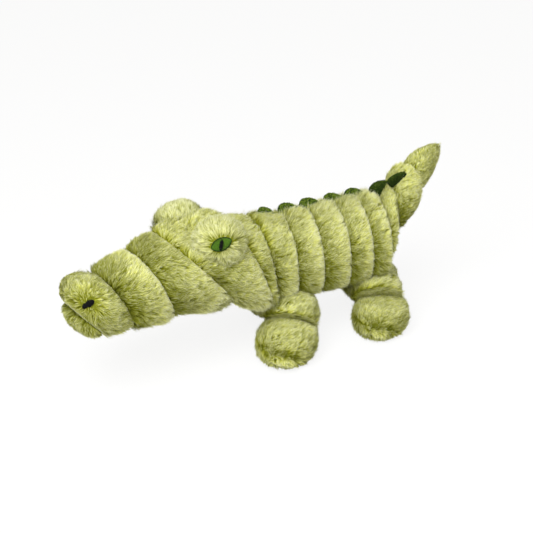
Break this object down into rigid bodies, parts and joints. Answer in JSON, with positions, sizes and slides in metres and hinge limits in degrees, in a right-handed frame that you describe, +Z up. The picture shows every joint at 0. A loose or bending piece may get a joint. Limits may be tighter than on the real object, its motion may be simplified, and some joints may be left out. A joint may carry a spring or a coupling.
{
  "type": "plush dog toy",
  "caption": "Alligator plush dog toy in long pale green pile, stuffed in sewn rings, with dark felt back spikes, embroidered eyes and nostrils, and a squeaker inside.",
  "frame": {"origin": "centre of the toy's bounding box, at floor level", "axes": "+X towards the tail tip and -X towards the nose, -Y towards the toy's left side, +Z up"},
  "size_m": [0.4582, 0.178, 0.2059],
  "materials": {
    "pile": "long soft pile, 8 to 10 mm, pale yellow green",
    "felt": "short plush felt, dark green",
    "iris_thread": "satin embroidery, green",
    "black_thread": "satin embroidery, black",
    "squeaker": "soft moulded plastic, off-white"
  },
  "bodies": {
    "torso": {"body_ring_1": "pile", "body_ring_2": "pile", "body_ring_3": "pile", "body_ring_4": "pile", "body_ring_5": "pile", "spike_1": "felt", "spike_2": "felt", "spike_3": "felt", "spike_4": "felt", "spike_5": "felt", "squeaker_bulb": "squeaker", "squeaker_reed": "squeaker"},
    "head_and_neck": {"neck_ring": "pile", "head": "pile", "crown": "pile", "snout_ring_rear": "pile", "snout_ring_front": "pile", "snout_tip": "pile", "lower_jaw": "pile", "eye_bump_left": "pile", "eye_bump_right": "pile", "eye_iris_left": "iris_thread", "eye_iris_right": "iris_thread", "eye_pupil_left": "black_thread", "eye_pupil_right": "black_thread", "nostril_left": "black_thread", "nostril_right": "black_thread"},
    "tail": {"tail_ring_1": "pile", "tail_ring_2": "pile", "tail_tip": "pile", "spike_6": "felt", "spike_7": "felt"},
    "leg_front_left": {"leg_upper_front_left": "pile", "foot_front_left": "pile"},
    "leg_front_right": {"leg_upper_front_right": "pile", "foot_front_right": "pile"},
    "leg_rear_left": {"leg_upper_rear_left": "pile", "foot_rear_left": "pile"},
    "leg_rear_right": {"leg_upper_rear_right": "pile", "foot_rear_right": "pile"}
  },
  "joints": [
    {"name": "neck_turn", "type": "hinge", "parent": "torso", "child": "head_and_neck", "pos_m": [-0.00091, 0.00199, 0.104], "axis": [0, 0, 1], "range_deg": [-8, 8], "stiffness_Nm_per_rad": 3},
    {"name": "tail_wag", "type": "hinge", "parent": "torso", "child": "tail", "pos_m": [0.1472, 0.00199, 0.106], "axis": [0, 0, 1], "range_deg": [-8, 8], "stiffness_Nm_per_rad": 1},
    {"name": "hip_front_left", "type": "hinge", "parent": "torso", "child": "leg_front_left", "pos_m": [0.03059, -0.03401, 0.041], "axis": [0, 1, 0], "range_deg": [-12, 12], "stiffness_Nm_per_rad": 8},
    {"name": "hip_front_right", "type": "hinge", "parent": "torso", "child": "leg_front_right", "pos_m": [0.03059, 0.03799, 0.041], "axis": [0, 1, 0], "range_deg": [-12, 12], "stiffness_Nm_per_rad": 8},
    {"name": "hip_rear_left", "type": "hinge", "parent": "torso", "child": "leg_rear_left", "pos_m": [0.13709, -0.02901, 0.041], "axis": [0, 1, 0], "range_deg": [-12, 12], "stiffness_Nm_per_rad": 8},
    {"name": "hip_rear_right", "type": "hinge", "parent": "torso", "child": "leg_rear_right", "pos_m": [0.13709, 0.03299, 0.041], "axis": [0, 1, 0], "range_deg": [-12, 12], "stiffness_Nm_per_rad": 8}
  ]
}
